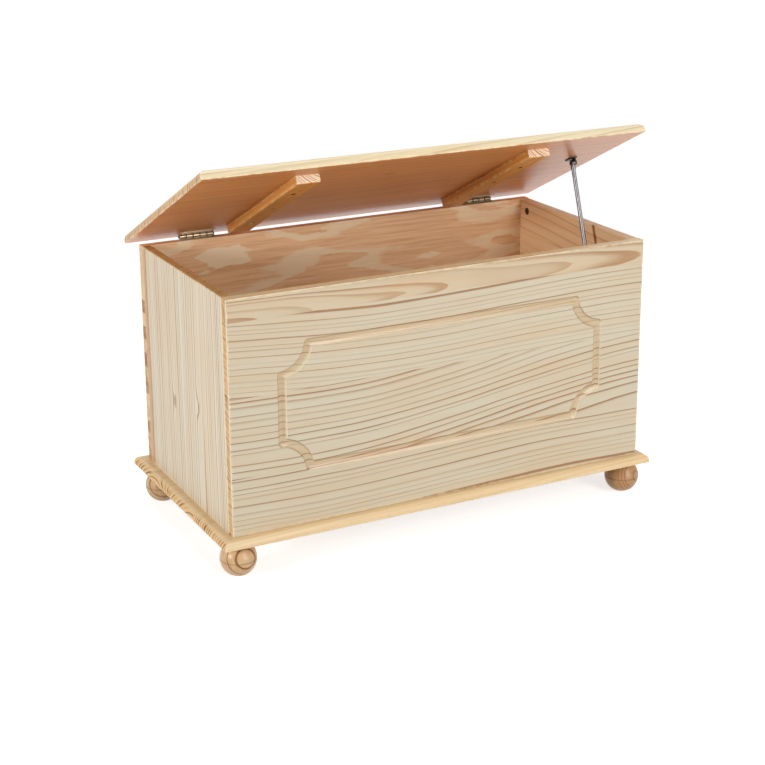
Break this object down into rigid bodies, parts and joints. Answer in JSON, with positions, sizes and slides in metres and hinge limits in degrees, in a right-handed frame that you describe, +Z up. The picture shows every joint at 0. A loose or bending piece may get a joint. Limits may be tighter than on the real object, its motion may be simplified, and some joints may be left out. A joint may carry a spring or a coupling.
{
  "type": "toy chest",
  "caption": "Pine toy chest with a routed frame on its front, a moulded base on turned ball feet, and a hinged lid with battens that a gas strut holds open.",
  "frame": {"origin": "on the floor, midway along the width and depth of the base board", "axes": "+X to the right of the chest as seen from its front, +Y to its back, +Z up"},
  "size_m": [0.89, 0.47, 0.7194],
  "materials": {
    "front_pine": "satin clear lacquer on flat-sawn pine, grain along the width",
    "side_pine": "satin clear lacquer on pine, grain upright",
    "back_pine": "satin clear lacquer on pine veneer",
    "base_pine": "satin clear lacquer on pine, grain along the width",
    "lid_pine": "satin clear lacquer on pine, grain along the width",
    "turned_pine": "satin clear lacquer on turned pine",
    "dowel_wood": "raw beech",
    "zinc_steel": "bright zinc plate",
    "cam_metal": "dull die-cast zinc",
    "hinge_steel": "bright zinc-plated pressed steel",
    "strut_black": "satin black enamel",
    "strut_plastic": "black moulded plastic",
    "strut_chrome": "ground and chromed",
    "blackened_steel": "black-coated steel",
    "bracket_steel": "plated pressed steel"
  },
  "bodies": {
    "chest": {"base_board": "base_pine", "front_panel": "front_pine", "back_panel": "back_pine", "left_side_panel": "side_pine", "right_side_panel": "side_pine", "foot_front_left": "turned_pine", "foot_front_right": "turned_pine", "foot_back_left": "turned_pine", "foot_back_right": "turned_pine", "foot_bolts": "zinc_steel", "base_screws": "zinc_steel", "corner_dowels": "dowel_wood", "cam_bolts": "zinc_steel", "cam_locks": "cam_metal", "left_hinge_box_leaf": "hinge_steel", "left_hinge_pin": "hinge_steel", "right_hinge_box_leaf": "hinge_steel", "right_hinge_pin": "hinge_steel", "hinge_box_screws": "zinc_steel", "strut_foot_bracket": "bracket_steel", "foot_bracket_screws": "zinc_steel"},
    "lid": {"lid_panel": "lid_pine", "lid_batten_left": "lid_pine", "lid_batten_right": "lid_pine", "batten_screws": "zinc_steel", "left_hinge_lid_leaf": "hinge_steel", "right_hinge_lid_leaf": "hinge_steel", "hinge_lid_screws": "zinc_steel", "strut_lid_bracket": "blackened_steel", "lid_bracket_screws": "blackened_steel"},
    "strut_tube": {"strut_tube": "strut_black", "strut_tube_eye": "bracket_steel", "strut_rod_guide": "strut_plastic"},
    "strut_rod": {"strut_rod": "strut_chrome", "strut_piston": "strut_chrome", "strut_rod_end": "blackened_steel", "strut_lid_pin": "blackened_steel"}
  },
  "joints": [
    {"name": "lid_hinge", "type": "hinge", "parent": "chest", "child": "lid", "pos_m": [0, 0.21, 0.5123], "axis": [-1, 0, 0], "range_deg": [-26.84, 0]},
    {"name": "strut_swing", "type": "hinge", "parent": "lid", "child": "strut_rod", "pos_m": [0.376, -0.04326, 0.62948], "axis": [-1, 0, 0], "range_deg": [0, 30.08]},
    {"name": "strut_slide", "type": "slide", "parent": "strut_rod", "child": "strut_tube", "axis": [0, 0.3138, 0.9495], "range_m": [0, 0.1283]}
  ],
  "couplings": [
    {"joint": "strut_swing", "follows": "lid_hinge", "ratio": -1.1202},
    {"joint": "strut_slide", "follows": "lid_hinge", "m_per_rad": -0.27359}
  ]
}
